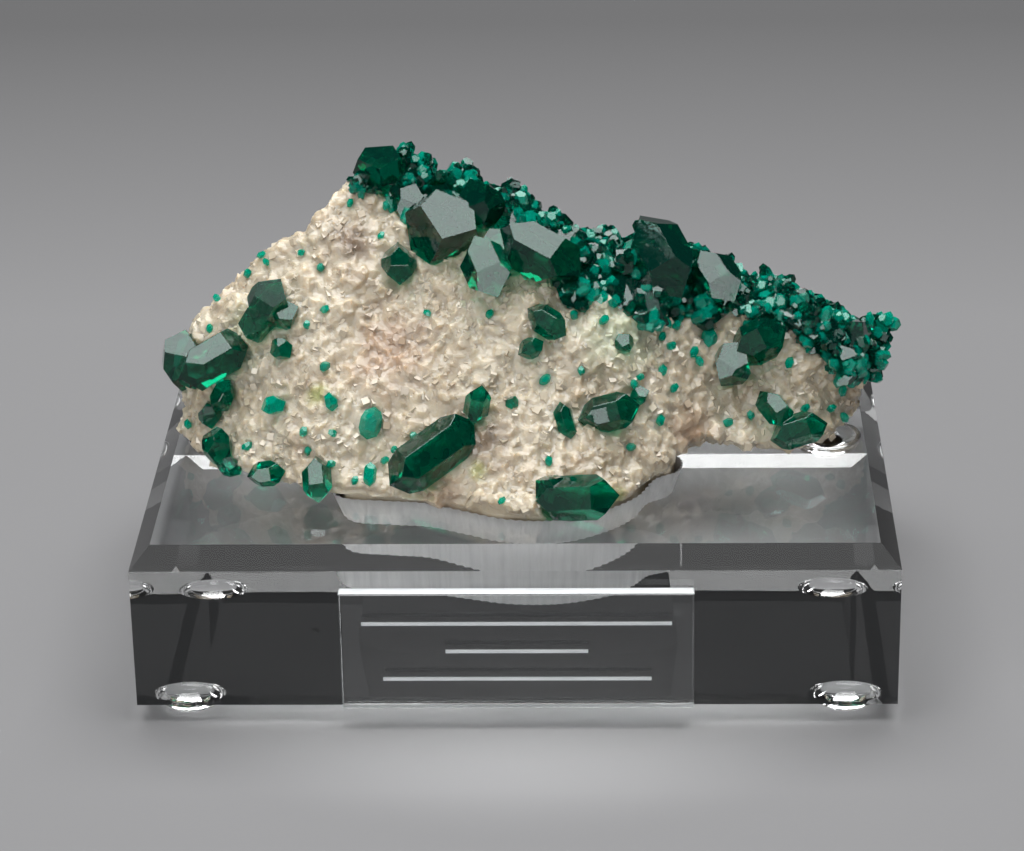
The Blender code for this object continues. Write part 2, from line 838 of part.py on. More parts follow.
def make_dioptase(grow, crust):
    one = grow.crystal
    crest = bpy.data.objects.new("dioptase_ridge", crust.data.copy())
    grow.collection.objects.link(crest)
    crest.data.materials.append(grow.material)
    boolean(grow.stone, crust_prism("crust_parting", grow.trims, CRUST_PARTING), "DIFFERENCE")
    keep_main_body(grow.stone)
    grow.cluster("dioptase_ridge", ridge_crystals(grow), crest)
    grow.cluster("dioptase_stub", [
        one(399, 264, 46, 36, -88, 12, 25, 1.5),
    ])
    grow.cluster("dioptase_left_end", [
        one(184, 360, 66, 48, 84, 15, 10, 1.5),
        one(213, 361, 82, 48, 31, -12, 0, 4.0),
        one(190, 375, 34, 28, 120, 10, 0, 1.0),
        one(223, 396, 38, 26, 62, 10, 0, 1.5),
        one(210, 415, 32, 24, -80, 20, 30, 1.5),
    ])
    grow.cluster("dioptase_left_upper", [
        one(268, 305, 64, 46, 62, 22, 20, 2.5),
        one(258, 325, 42, 38, 120, 30, 0, 2.0),
        one(284, 314, 36, 34, 30, 20, 10, 1.5),
        one(281, 349, 28, 24, -40, 20, 0, 1.0),
    ])
    grow.cluster("dioptase_left_edge", [
        one(217, 446, 42, 32, -86, 26, 5, 2.0),
        one(229, 467, 32, 20, -48, 10, 10, 1.5),
    ])
    grow.cluster("dioptase_lower_left", [
        one(267, 474, 40, 27, 8, 10, 35, 1.5),
    ])
    grow.cluster("dioptase_lower_box", [
        one(317, 479, 54, 30, -84, 24, 32, 2.5),
    ])
    grow.cluster("dioptase_long", [
        one(432, 454, 108, 50, 36, -10, 30, 3.5),
        one(477, 405, 46, 26, 80, 24, 30, 2.5),
    ])
    grow.cluster("dioptase_hexagon", [
        one(512, 403, 17, 15, 90, 60, 0, 0.5),
    ])
    grow.cluster("dioptase_upright", [
        one(565, 421, 40, 20, -74, 5, 10, 1.0),
    ])
    grow.cluster("dioptase_pair", [
        one(609, 413, 64, 38, 14, 6, 28, 2.0),
        one(639, 396, 24, 20, 30, 10, 0, 1.5),
    ])
    grow.cluster("dioptase_large_low", [
        one(576, 498, 94, 46, 3, 22, 30, 2.5),
        one(556, 493, 50, 38, 150, 15, 0, 2.3),
    ])
    grow.cluster("dioptase_tablet", [
        one(547, 322, 48, 30, -32, 5, 30, 1.5),
    ])
    grow.cluster("dioptase_tablet_small", [
        one(531, 348, 30, 22, 28, 8, 30, 1.2),
    ])
    grow.cluster("dioptase_bead", [
        one(624, 343, 26, 22, 60, 30, 0, 1.0),
    ])
    grow.cluster("dioptase_right_vee", [
        one(775, 409, 48, 30, -52, 12, 10, 2.0),
        one(798, 430, 62, 34, 18, 14, 25, 2.5),
    ])


def centre_on_floor(collection):
    """Move every piece so that the object's box is centred over the origin."""
    points = [vert.co for item in collection.objects for vert in item.data.vertices]
    low = [min(point[axis] for point in points) for axis in range(3)]
    high = [max(point[axis] for point in points) for axis in range(3)]
    shift = Vector((-(low[0] + high[0]) / 2.0, -(low[1] + high[1]) / 2.0, -low[2]))
    for item in collection.objects:
        item.data.transform(Matrix.Translation(shift))


def main():
    clear_scene()
    specimen = make_collection("dioptase_specimen")
    trims = make_collection("trims", hidden=True)
    acrylic = make_material("clear_acrylic", (0.94, 0.96, 0.96), 0.03, 1.0, 1.49)
    soft_clear = make_material("clear_rubber", (0.90, 0.92, 0.92), 0.12, 1.0, 1.45)
    calcite = make_material("cream_calcite", (0.80, 0.75, 0.66), 0.55, 0.0, 1.5)
    green = make_material("dioptase_green", (0.01, 0.27, 0.18), 0.12, 0.35, 1.66)
    make_block(specimen, trims, acrylic)
    make_label(specimen, acrylic)
    make_feet(specimen, soft_clear)
    stone, crust = make_stone(specimen, trims, calcite)
    make_dioptase(Grower(stone, specimen, trims, green), crust)
    tidy_mesh(stone)
    centre_on_floor(specimen)
    for item in trims.objects:
        item.display_type = "WIRE"
        item.hide_render = True


main()
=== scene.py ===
"""Dioptase on calcite in a clear acrylic base: the dressed model, its floor, light and camera."""
import math
import random

import bmesh
import bpy
from mathutils import Matrix, Vector, noise
from mathutils.bvhtree import BVHTree


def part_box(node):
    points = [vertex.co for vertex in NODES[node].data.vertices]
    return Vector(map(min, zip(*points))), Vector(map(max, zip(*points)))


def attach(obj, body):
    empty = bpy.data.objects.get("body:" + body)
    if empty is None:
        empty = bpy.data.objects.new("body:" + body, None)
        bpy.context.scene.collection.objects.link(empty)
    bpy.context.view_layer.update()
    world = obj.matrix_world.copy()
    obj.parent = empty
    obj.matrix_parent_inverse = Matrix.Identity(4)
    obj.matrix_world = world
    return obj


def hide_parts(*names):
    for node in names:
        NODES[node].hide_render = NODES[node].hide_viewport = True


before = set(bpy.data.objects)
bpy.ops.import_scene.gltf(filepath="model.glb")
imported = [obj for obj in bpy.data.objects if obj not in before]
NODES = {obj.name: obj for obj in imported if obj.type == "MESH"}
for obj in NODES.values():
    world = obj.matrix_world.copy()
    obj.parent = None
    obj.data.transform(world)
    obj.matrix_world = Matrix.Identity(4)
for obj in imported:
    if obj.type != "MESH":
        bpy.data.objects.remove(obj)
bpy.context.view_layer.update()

MM = 0.001
MERGE_DISTANCE = 0.002 * MM
FACE_SLACK = 0.05 * MM
chance = random.Random(41)

# The base, as the solids have it. The pocket's rim and middle are in millimetres from the
# middle of the block's front edge.
BLOCK_LOW, BLOCK_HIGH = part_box("acrylic_block")
BLOCK_MIDDLE = (BLOCK_LOW + BLOCK_HIGH) / 2.0
CENTRE_X = BLOCK_MIDDLE.x
FRONT_Y = BLOCK_LOW.y
BLOCK_CHAMFER = 3.0 * MM
POCKET_FLOOR = BLOCK_LOW.z + 13.4 * MM
POCKET_TAPER = 0.94
POCKET_SIDES = 180
POCKET_SCALLOP = 0.35
POCKET_OVERCUT = 1.0 * MM
POCKET_REACH = 31.0 * MM
POCKET_SETBACK = 5.0 * MM
WALL_LIMIT = 0.7
POCKET_CENTRE = Vector((-0.5, 29.0))
POCKET_PLAN = (
    (-27.0, 19.5),
    (-20.0, 18.0),
    (-14.0, 17.2),
    (-8.0, 14.4),
    (-2.0, 11.6),
    (4.0, 10.8),
    (9.0, 11.9),
    (14.5, 15.3),
    (18.5, 19.6),
    (21.0, 25.4),
    (24.4, 28.2),
    (25.2, 32.4),
    (22.6, 36.2),
    (16.0, 38.4),
    (7.0, 39.3),
    (-5.0, 39.5),
    (-16.0, 38.8),
    (-24.0, 36.6),
    (-28.2, 32.2),
    (-29.0, 26.4),
)

# The feet: the flat under each is a share of its radius, and the root reaches into the block
FEET = ("foot_front_left", "foot_front_right", "foot_rear_left", "foot_rear_right")
FOOT_FLAT = 0.47
FOOT_SIDES = 48
FOOT_RINGS = 8
FOOT_ROOT = 0.8 * MM

# The label plate and its engraved rules: length and height above the plate's lower edge,
# in millimetres. All of them lie within the field, given as half its width and height.
LABEL_CHAMFER = 0.18 * MM
RULES = ((46.0, 14.2), (21.2, 9.6), (40.0, 5.0))
RULE_WIDTH = 0.55 * MM
RULE_DEPTH = 0.25 * MM
RULE_FIELD = (24.0 * MM, 8.0 * MM)
RULE_SLACK = 0.02 * MM
RIM_LIMIT = 0.3

# The camera that the photograph gives
EYE = Vector((CENTRE_X + 15.784 * MM, FRONT_Y - 468.061 * MM, BLOCK_LOW.z + 255.823 * MM))
PITCH = math.radians(24.1414)
YAW = math.radians(-1.9179)
ROLL = math.radians(-1.01244)
FOCAL = 3541.9
PICTURE_WIDTH = 1024.0
PICTURE_MIDDLE = (512.0, 425.5)
SENSOR = 36.0
NEAREST = 0.01
FARTHEST = 20.0

# The calcite's skin, and the three-sided grains that it is raised in
STONE_VOXEL = 0.36 * MM
STONE_TRIANGLES = 188000
SKIN_CLEARANCE = 0.35 * MM
GRAIN_SIZE = 1.0 * MM
GRAIN_SHARE = 0.12
GRAIN_AXIS = Vector((0.31, 0.22, 0.92))
GRAIN_TIP = 0.35
GRAIN_TIP_SPREAD = 0.4
GRAIN_CURVE = 0.6
GRAIN_SLOPE = 1.3
THIRDS = (0.0, math.tau / 3.0, math.tau * 2.0 / 3.0)
TURN_SEED = 57.0
TIP_SEED = 91.0

# The rhombs on the calcite, under its skin and as single tips: how many, their sizes in
# millimetres, and the share of the size that is sunk
RHOMB_FLATNESS = (0.6, 0.8, 1.0)
RHOMB_CLEARANCE = 1.5 * MM
RHOMB_LEAN = 38.0
GROWN_COUNT = 8000
GROWN_SIZES = (1.1, 2.4)
GROWN_SUNK = 0.25
TIP_COUNT = 2600
TIP_SIZES = (0.6, 1.15)
TIP_SUNK = 0.36

# Stains in the calcite: sheet place, radius in millimetres, colour and strength. A stain is
# full up to the inner share of its radius, and gone at the outer one.
STAIN_INNER = 0.6
STAIN_OUTER = 1.6
STAIN_UNEVEN = 1.2
PINK_TAN = (146, 122, 102)
GREY_BROWN = (104, 88, 74)
YELLOW_GREEN = (142, 150, 76)
PALE_GREEN = (150, 172, 142)
OLIVE = (80, 70, 40)
STAINS = (
    (392, 352, 10.0, PINK_TAN, 0.85),
    (350, 240, 5.0, GREY_BROWN, 0.9),
    (480, 440, 7.0, GREY_BROWN, 0.75),
    (440, 486, 6.0, PINK_TAN, 0.8),
    (690, 430, 6.0, PINK_TAN, 0.85),
    (318, 395, 2.6, YELLOW_GREEN, 0.7),
    (478, 470, 2.2, YELLOW_GREEN, 0.6),
    (617, 495, 2.4, YELLOW_GREEN, 0.6),
    (668, 463, 1.1, OLIVE, 0.8),
    (500, 262, 9.0, PALE_GREEN, 0.5),
    (620, 330, 10.0, PALE_GREEN, 0.45),
    (250, 335, 7.0, PALE_GREEN, 0.4),
)

# Dioptase: the slope of its end faces, and the wear of its edges
END_FACE_ANGLE = math.radians(50.5)
SPARE_LENGTH = 1.1
CUT_SLACK = 1e-8
FLAT_ANGLE = math.radians(0.6)
SHARP_ANGLE = math.radians(25.0)
EDGE_WEAR = 0.07 * MM

# The small dioptase crystals on the crust: length and width in millimetres, and how far out
# each end face lies. Crystals that are left bare of them: sheet place and radius.
CRUST_COUNT = 800
CRUST_SIZES = (0.9, 2.2)
CRUST_SHAPES = (
    (1.5, 1.0, (1.0, 1.0, 1.0, 1.0, 1.0, 1.0)),
    (1.9, 1.0, (1.0, 1.15, 0.95, 1.0, 1.0, 1.1)),
    (1.3, 1.15, (1.1, 1.0, 1.0, 1.0, 1.1, 1.0)),
)
CRUST_CLEARANCE = 2.0 * MM
CRUST_RISE = 0.1 * MM
CRUST_LEAN = 50.0
CRUST_UPWARD = Vector((0.0, 0.0, 0.35))
FACET_AREA = 5.0e-6
BARE_CRYSTALS = (
    (381, 171, 30),
    (408, 205, 22),
    (442, 228, 46),
    (482, 206, 30),
    (487, 266, 38),
    (538, 254, 48),
    (652, 262, 48),
    (690, 262, 30),
    (716, 276, 30),
    (758, 342, 30),
    (733, 364, 26),
    (860, 334, 24),
)

# Small single crystals: sheet place, length and width on the sheet, lean in degrees. They are
# tilted toward the eye, their end faces are uneven, and they stand a share of their width out.
SINGLE_TILT = (-15.0, 35.0)
SINGLE_UNEVEN = (0.9, 1.15)
SINGLE_GROWTH = (1.1, 1.15)
SINGLE_RISE = 0.35
SINGLES = (
    (350, 203, 9, 6, 60), (385, 206, 11, 7, 80), (290, 236, 9, 6, 40), (262, 256, 9, 6, 20),
    (268, 262, 8, 6, 110), (249, 274, 10, 7, 70), (246, 263, 9, 6, 150), (218, 300, 9, 6, 120),
    (321, 267, 9, 7, 60), (325, 310, 10, 7, 15), (308, 326, 9, 7, 100), (382, 237, 9, 6, 45),
    (302, 253, 8, 6, 10), (428, 314, 9, 6, 130), (490, 315, 10, 7, 75), (211, 329, 9, 6, 80),
    (325, 365, 11, 8, 35), (275, 403, 26, 17, 15), (333, 402, 18, 12, 100), (305, 431, 11, 8, 50),
    (332, 434, 10, 7, 140), (309, 451, 9, 7, 85), (250, 446, 12, 8, 30), (189, 424, 10, 7, 95),
    (332, 464, 9, 7, 20), (355, 480, 9, 6, 65), (371, 425, 30, 19, 78), (415, 436, 10, 7, 110),
    (396, 449, 8, 6, 60), (404, 449, 8, 6, 120), (386, 461, 9, 6, 30), (371, 477, 22, 11, 85),
    (503, 502, 9, 6, 60), (545, 379, 13, 8, 45), (582, 369, 10, 7, 80), (633, 384, 10, 7, 130),
    (640, 377, 9, 6, 30), (661, 372, 12, 8, 80), (673, 388, 11, 7, 60), (549, 462, 10, 7, 95),
    (630, 448, 10, 7, 20), (660, 419, 12, 8, 75), (603, 320, 11, 7, 50), (574, 315, 11, 7, 100),
    (675, 326, 12, 8, 35), (671, 312, 12, 8, 120), (661, 335, 10, 7, 70), (698, 323, 12, 8, 85),
    (671, 346, 11, 7, 15), (695, 350, 12, 8, 60), (698, 360, 11, 7, 130), (711, 342, 22, 14, 80),
    (790, 363, 12, 8, 65), (728, 423, 12, 8, 30), (751, 414, 10, 7, 100), (805, 409, 11, 7, 55),
    (842, 417, 11, 7, 125), (841, 391, 12, 8, 70), (830, 409, 10, 7, 20),
)

# Finishes: refraction, then body colour, clearness, absorption and roughness of each green.
# A pattern is given by its scale, detail and roughness, and the depth of a bump is in metres.
ACRYLIC_IOR = 1.49
CALCITE_IOR = 1.55
DIOPTASE_IOR = 1.67
DIOPTASE_MIRROR = (0.52, 0.58, 0.57, 1.0)
DIOPTASE_DEPTH = (0.0, 0.78, 0.71, 1.0)
DEEP_GREEN = ((0.0, 0.42, 0.29, 1.0), 0.97, 560.0, 0.04)
BRIGHT_GREEN = ((0.0, 0.5, 0.34, 1.0), 0.74, 200.0, 0.07)
CALCITE_TONES = ((0.28, (148, 132, 112)), (0.46, (167, 156, 137)), (0.68, (182, 173, 155)))
CALCITE_GLOW = (0.0028, 0.0023, 0.0017)
MILLED_WHITE = (253, 253, 253)
SAWN_WHITE = (236, 240, 242)
MILLED_STREAK = (1.0, 1.0, 0.06)
SAWN_STREAK = (0.2, 1.0, 1.0)
MARK_SHADE = 0.8
MARK_ROUGHNESS = (0.35, 0.6)
GRAIN_ROUGHNESS = (0.15, 0.5)
TIP_ROUGHNESS = 0.18
WAVE_PATTERN = (60.0, 1.0, 0.55)
MARK_PATTERN = (900.0, 3.0, 0.6)
CLOUD_PATTERN = (110.0, 5.0, 0.65)
STAIN_PATTERN = (330.0, 4.0, 0.6)
GRAIN_PATTERN = (900.0, 6.0, 0.7)
GROWTH_PATTERN = (420.0, 3.0, 0.6)
BUMP_DEPTH = 0.0002
GROWTH_DEPTH = 0.0001

# The floor: tones from front to back, darker behind as painted shade for the falloff of light,
# and a painted pool of light under the base
FLOOR_SIZE = 2.5
FLOOR_RANGE = (-0.06, 0.31)
FLOOR_PAINTED_FALLOFF_TONES = (0.158, 0.155, 0.084)
FLOOR_WARMTH = 0.98
# Painted pool of light: the floor colour is lighter within this reach of the base
PAINTED_POOL_REACH = 0.07
PAINTED_POOL_SHARE = 0.85
PAINTED_POOL_TONE = (0.6, 0.6, 0.605, 1.0)

# Lights: place, target, width and depth in metres, power in watts
SKY_TINT = (0.9, 0.95, 1.0, 1.0)
SKY_STRENGTH = 0.012
LIGHTS = {
    "overhead_softbox": ((0.0, 0.1275, 0.8), (0.0, 0.128, 0.0), (1.0, 0.915), 19.0),
    "front_fill": ((-0.5, -1.1, 0.6), (0.0, 0.0, 0.04), (1.8, 1.2), 3.5),
    "low_fill": ((-0.35, -1.0, 0.16), (0.0, 0.0, 0.03), (1.8, 0.28), 8.0),
    "front_strip": ((0.0, -0.43, 0.8), (0.0, -0.43, 0.0), (1.0, 0.19), 1.0),
}


# Working helpers

def linear(red, green, blue):
    """Screen colour, 0 to 255, as linear light."""
    return tuple((value / 255.0) ** 2.2 for value in (red, green, blue)) + (1.0,)


def picture_axes():
    """Right, up and forward of the camera."""
    forward = Vector((
        math.sin(YAW) * math.cos(PITCH),
        math.cos(YAW) * math.cos(PITCH),
        -math.sin(PITCH),
    ))
    flat_right = Vector((math.cos(YAW), -math.sin(YAW), 0.0))
    flat_up = flat_right.cross(forward)
    right = flat_right * math.cos(ROLL) + flat_up * math.sin(ROLL)
    up = flat_up * math.cos(ROLL) - flat_right * math.sin(ROLL)
    return right, up, forward


RIGHT, UP, FORWARD = picture_axes()


def sight(x, y):
    """Direction from the eye through a place on the sheet."""
    across = (x - PICTURE_MIDDLE[0]) / FOCAL
    down = (y - PICTURE_MIDDLE[1]) / FOCAL
    return (FORWARD + RIGHT * across - UP * down).normalized()


def sheet_place(point):
    """Where a point stands on the sheet."""
    reach = point - EYE
    scale = FOCAL / reach.dot(FORWARD)
    across = PICTURE_MIDDLE[0] + reach.dot(RIGHT) * scale
    down = PICTURE_MIDDLE[1] - reach.dot(UP) * scale
    return across, down


def new_piece(bm, name, *materials):
    """Object from a bmesh, with its materials; the bmesh is used up."""
    mesh = bpy.data.meshes.new(name)
    bm.to_mesh(mesh)
    bm.free()
    piece = bpy.data.objects.new(name, mesh)
    bpy.context.scene.collection.objects.link(piece)
    for material in materials:
        mesh.materials.append(material)
    return piece


def settle(piece):
    """Apply the piece's modifiers."""
    bpy.context.view_layer.update()
    graph = bpy.context.evaluated_depsgraph_get()
    mesh = bpy.data.meshes.new_from_object(piece.evaluated_get(graph))
    old = piece.data
    piece.modifiers.clear()
    piece.data = mesh
    bpy.data.meshes.remove(old)


def combine(piece, other, operation):
    """Exact boolean of two pieces; the second one is used up."""
    step = piece.modifiers.new("combine", "BOOLEAN")
    step.object = other
    step.operation = operation
    step.solver = "EXACT"
    settle(piece)
    bpy.data.objects.remove(other)


def solid_copy(name):
    """Copy of a solid as a bmesh, its doubles merged."""
    bm = bmesh.new()
    bm.from_mesh(NODES[name].data)
    bmesh.ops.remove_doubles(bm, verts=bm.verts, dist=MERGE_DISTANCE)
    return bm


def slab(size, centre):
    """Plain box as a bmesh."""
    bm = bmesh.new()
    bmesh.ops.create_cube(bm, size=1.0)
    bmesh.ops.scale(bm, vec=size, verts=bm.verts)
    bmesh.ops.translate(bm, vec=centre, verts=bm.verts)
    return bm


def chamfer(bm, edges, offset, clamp=False):
    """Flat bevel along edges."""
    bmesh.ops.bevel(
        bm,
        geom=edges,
        offset=offset,
        segments=1,
        profile=0.5,
        affect="EDGES",
        material=-1,
        clamp_overlap=clamp,
    )


def fresh_parts(grown, kind):
    """The new vertices or faces of an extrusion."""
    return [part for part in grown["geom"] if isinstance(part, kind)]


def keep_two_finishes(piece):
    """Drop the material slots that a cut adds."""
    while len(piece.data.materials) > 2:
        piece.data.materials.pop()


def moved_to(place, axis, size=1.0):
    """Matrix that sets a small body on its place, along an axis, turned at random."""
    turned = frame_along(axis, chance.uniform(0.0, math.tau)).to_4x4()
    return Matrix.Translation(place) @ turned @ Matrix.Scale(size, 4)


def frame_along(axis, spin):
    """Rotation that takes Z to an axis, turned about it."""
    turn = axis.to_track_quat("Z", "Y").to_matrix()
    return turn @ Matrix.Rotation(spin, 3, "Z")


# Finishes

def new_material(name):
    material = bpy.data.materials.new(name)
    material.use_nodes = True
    return material, material.node_tree, material.node_tree.nodes["Principled BSDF"]


def node(tree, kind, **values):
    item = tree.nodes.new(kind)
    for key, value in values.items():
        setattr(item, key, value)
    return item


def place_coordinates(tree, scale=(1.0, 1.0, 1.0)):
    coordinates = node(tree, "ShaderNodeTexCoord")
    mapping = node(tree, "ShaderNodeMapping")
    mapping.inputs["Scale"].default_value = scale
    tree.links.new(coordinates.outputs["Object"], mapping.inputs["Vector"])
    return mapping.outputs["Vector"]


def noise_field(tree, vector, scale, detail, roughness):
    field = node(tree, "ShaderNodeTexNoise")
    field.inputs["Scale"].default_value = scale
    field.inputs["Detail"].default_value = detail
    field.inputs["Roughness"].default_value = roughness
    tree.links.new(vector, field.inputs["Vector"])
    return field.outputs["Fac"]


def ramp(tree, factor, *stops):
    item = node(tree, "ShaderNodeValToRGB")
    elements = item.color_ramp.elements
    while len(elements) < len(stops):
        elements.new(0.5)
    for element, (position, colour) in zip(elements, stops):
        element.position = position
        element.color = colour
    tree.links.new(factor, item.inputs["Fac"])
    return item.outputs["Color"]


def blend_colours(tree, factor, first, second):
    """A colour from the nodes, with a plain colour mixed in."""
    item = node(tree, "ShaderNodeMix", data_type="RGBA")
    tree.links.new(factor, item.inputs["Factor"])
    tree.links.new(first, item.inputs["A"])
    item.inputs["B"].default_value = second
    return item.outputs["Result"]


def bump(tree, shader, height, strength, distance):
    item = node(tree, "ShaderNodeBump")
    item.inputs["Strength"].default_value = strength
    item.inputs["Distance"].default_value = distance
    tree.links.new(height, item.inputs["Height"])
    tree.links.new(item.outputs["Normal"], shader.inputs["Normal"])


def spread(tree, factor, low, high):
    item = node(tree, "ShaderNodeMapRange")
    item.inputs["To Min"].default_value = low
    item.inputs["To Max"].default_value = high
    tree.links.new(factor, item.inputs["Value"])
    return item.outputs["Result"]


def clear_acrylic():
    material, tree, shader = new_material("clear_acrylic")
    shader.inputs["Base Color"].default_value = (0.985, 0.995, 0.995, 1.0)
    shader.inputs["Roughness"].default_value = 0.0
    shader.inputs["Transmission Weight"].default_value = 1.0
    shader.inputs["IOR"].default_value = ACRYLIC_IOR
    vector = place_coordinates(tree)
    wave = noise_field(tree, vector, *WAVE_PATTERN)
    bump(tree, shader, wave, 0.06, BUMP_DEPTH)
    return material


def frosted_acrylic(name, streak, colour, transmission):
    """Milled or sawn acrylic: white, rough, with fine tool marks."""
    material, tree, shader = new_material(name)
    shader.inputs["Transmission Weight"].default_value = transmission
    shader.inputs["IOR"].default_value = ACRYLIC_IOR
    vector = place_coordinates(tree, streak)
    marks = noise_field(tree, vector, *MARK_PATTERN)
    shade = tuple(MARK_SHADE * part for part in colour[:3]) + (1.0,)
    tone = ramp(tree, marks, (0.25, shade), (0.7, colour))
    tree.links.new(tone, shader.inputs["Base Color"])
    tree.links.new(spread(tree, marks, *MARK_ROUGHNESS), shader.inputs["Roughness"])
    bump(tree, shader, marks, 0.5, BUMP_DEPTH)
    return material


def stone_place(x, y):
    """Point of the rock behind a place on the sheet."""
    tree = BVHTree.FromBMesh(solid_copy("calcite_matrix"))
    return tree.ray_cast(EYE, sight(x, y))[0]


def stain_share(tree, vector, edge, centre, radius, strength):
    """Strength of one stain, with an uneven edge."""
    reach = node(tree, "ShaderNodeVectorMath", operation="DISTANCE")
    reach.inputs[1].default_value = centre
    tree.links.new(vector, reach.inputs[0])
    uneven = node(tree, "ShaderNodeMath", operation="MULTIPLY_ADD")
    uneven.inputs[1].default_value = STAIN_UNEVEN * radius
    tree.links.new(edge, uneven.inputs[0])
    tree.links.new(reach.outputs["Value"], uneven.inputs[2])
    fade = node(tree, "ShaderNodeMapRange", interpolation_type="SMOOTHSTEP")
    fade.inputs["From Min"].default_value = STAIN_OUTER * radius
    fade.inputs["From Max"].default_value = STAIN_INNER * radius
    fade.inputs["To Max"].default_value = strength
    tree.links.new(uneven.outputs["Value"], fade.inputs["Value"])
    return fade.outputs["Result"]


def calcite_colour(tree):
    """Cream, with soft clouds and the stains."""
    vector = place_coordinates(tree)
    clouds = noise_field(tree, vector, *CLOUD_PATTERN)
    tone = ramp(tree, clouds, *((share, linear(*colour)) for share, colour in CALCITE_TONES))
    edge = noise_field(tree, vector, *STAIN_PATTERN)
    for x, y, radius, colour, strength in STAINS:
        centre = stone_place(x, y)
        share = stain_share(tree, vector, edge, centre, radius * MM, strength)
        tone = blend_colours(tree, share, tone, linear(*colour))
    return tone


def cream_calcite():
    material, tree, shader = new_material("cream_calcite")
    tree.links.new(calcite_colour(tree), shader.inputs["Base Color"])
    shader.inputs["Subsurface Weight"].default_value = 1.0
    shader.inputs["Subsurface Radius"].default_value = CALCITE_GLOW
    shader.inputs["Subsurface Scale"].default_value = 1.0
    shader.inputs["IOR"].default_value = CALCITE_IOR
    grain = noise_field(tree, place_coordinates(tree), *GRAIN_PATTERN)
    tree.links.new(spread(tree, grain, *GRAIN_ROUGHNESS), shader.inputs["Roughness"])
    bump(tree, shader, grain, 0.3, BUMP_DEPTH)
    return material


def green_dioptase(name, body, clear, density, roughness):
    material, tree, shader = new_material(name)
    shader.inputs["Base Color"].default_value = body
    shader.inputs["Roughness"].default_value = roughness
    shader.inputs["Transmission Weight"].default_value = clear
    shader.inputs["IOR"].default_value = DIOPTASE_IOR
    shader.inputs["Specular Tint"].default_value = DIOPTASE_MIRROR
    vector = place_coordinates(tree)
    growth = noise_field(tree, vector, *GROWTH_PATTERN)
    bump(tree, shader, growth, 0.1, GROWTH_DEPTH)
    depth = node(tree, "ShaderNodeVolumeAbsorption")
    depth.inputs["Color"].default_value = DIOPTASE_DEPTH
    depth.inputs["Density"].default_value = density
    output = next(item for item in tree.nodes if item.type == "OUTPUT_MATERIAL")
    tree.links.new(depth.outputs["Volume"], output.inputs["Volume"])
    return material


def glassy_calcite():
    material, tree, shader = new_material("glassy_calcite")
    tree.links.new(calcite_colour(tree), shader.inputs["Base Color"])
    shader.inputs["Roughness"].default_value = TIP_ROUGHNESS
    shader.inputs["IOR"].default_value = CALCITE_IOR
    return material


# The clear base

def smooth_ring(points, count):
    """Closed smooth curve through points, as evenly counted places."""
    places = []
    total = len(points)
    for step in range(count):
        along = step * total / count
        index = int(along)
        share = along - index
        a, b, c, d = (Vector(points[(index + shift) % total]) for shift in (-1, 0, 1, 2))
        places.append(
            b
            + (c - a) * (0.5 * share)
            + (a * 2.0 - b * 5.0 + c * 4.0 - d) * (0.5 * share ** 2)
            + (b * 3.0 - a - c * 3.0 + d) * (0.5 * share ** 3)
        )
    return places


def pocket_solid():
    """Tapering body with a scalloped rim, to cut the pocket with."""
    bm = bmesh.new()
    top = BLOCK_HIGH.z + POCKET_OVERCUT
    ring = bmesh.ops.create_circle(bm, cap_ends=True, segments=POCKET_SIDES, radius=1.0)
    origin = Vector((CENTRE_X, FRONT_Y))
    plan = smooth_ring(POCKET_PLAN, POCKET_SIDES)
    for number, (vert, place) in enumerate(zip(ring["verts"], plan)):
        outward = (place - POCKET_CENTRE).normalized()
        flat = origin + (place + outward * POCKET_SCALLOP * (number % 2)) * MM
        vert.co = (flat.x, flat.y, top)
    lower = bmesh.ops.extrude_face_region(bm, geom=bm.faces[:])
    pivot = origin + POCKET_CENTRE * MM
    shrink = 1.0 - (1.0 - POCKET_TAPER) * (top - POCKET_FLOOR) / (BLOCK_HIGH.z - POCKET_FLOOR)
    for vert in fresh_parts(lower, bmesh.types.BMVert):
        flat = pivot + (vert.co.xy - pivot) * shrink
        vert.co = (flat.x, flat.y, POCKET_FLOOR)
    bmesh.ops.recalc_face_normals(bm, faces=bm.faces)
    return new_piece(bm, "pocket_shape")


def foot_dome(name):
    """Clear dome that runs up into the block and ends in a small flat."""
    low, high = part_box(name)
    centre = (low + high) / 2.0
    radius = (high.x - low.x) / 2.0
    bm = bmesh.new()
    bmesh.ops.create_circle(bm, cap_ends=True, segments=FOOT_SIDES, radius=radius)
    bmesh.ops.translate(bm, vec=(centre.x, centre.y, BLOCK_LOW.z + FOOT_ROOT), verts=bm.verts)
    face = bm.faces[:]
    drop = math.acos(FOOT_FLAT)
    last = 1.0
    for ring in range(FOOT_RINGS + 1):
        angle = drop * ring / FOOT_RINGS
        share = math.cos(angle)
        level = high.z - (high.z - low.z) * math.sin(angle) / math.sin(drop)
        grown = bmesh.ops.extrude_face_region(bm, geom=face)
        fresh = fresh_parts(grown, bmesh.types.BMVert)
        if ring > 0:
            bmesh.ops.delete(bm, geom=face, context="FACES_ONLY")
        face = fresh_parts(grown, bmesh.types.BMFace)
        for vert in fresh:
            flat = centre.xy + (vert.co.xy - centre.xy) * (share / last)
            vert.co = (flat.x, flat.y, level)
        last = share
    bmesh.ops.recalc_face_normals(bm, faces=bm.faces)
    return new_piece(bm, name + "_dome")


def make_base(clear, milled):
    """Block with bevelled top edges, milled pocket and feet, in one clear piece."""
    bm = slab(BLOCK_HIGH - BLOCK_LOW, BLOCK_MIDDLE)
    rim = [edge for edge in bm.edges if all(v.co.z > BLOCK_MIDDLE.z for v in edge.verts)]
    chamfer(bm, rim, BLOCK_CHAMFER)
    base = new_piece(bm, "clear_base", clear, milled)
    combine(base, pocket_solid(), "DIFFERENCE")
    for name in FEET:
        combine(base, foot_dome(name), "UNION")
    finish_base(base)
    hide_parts("acrylic_block", *FEET)
    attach(base, "root")


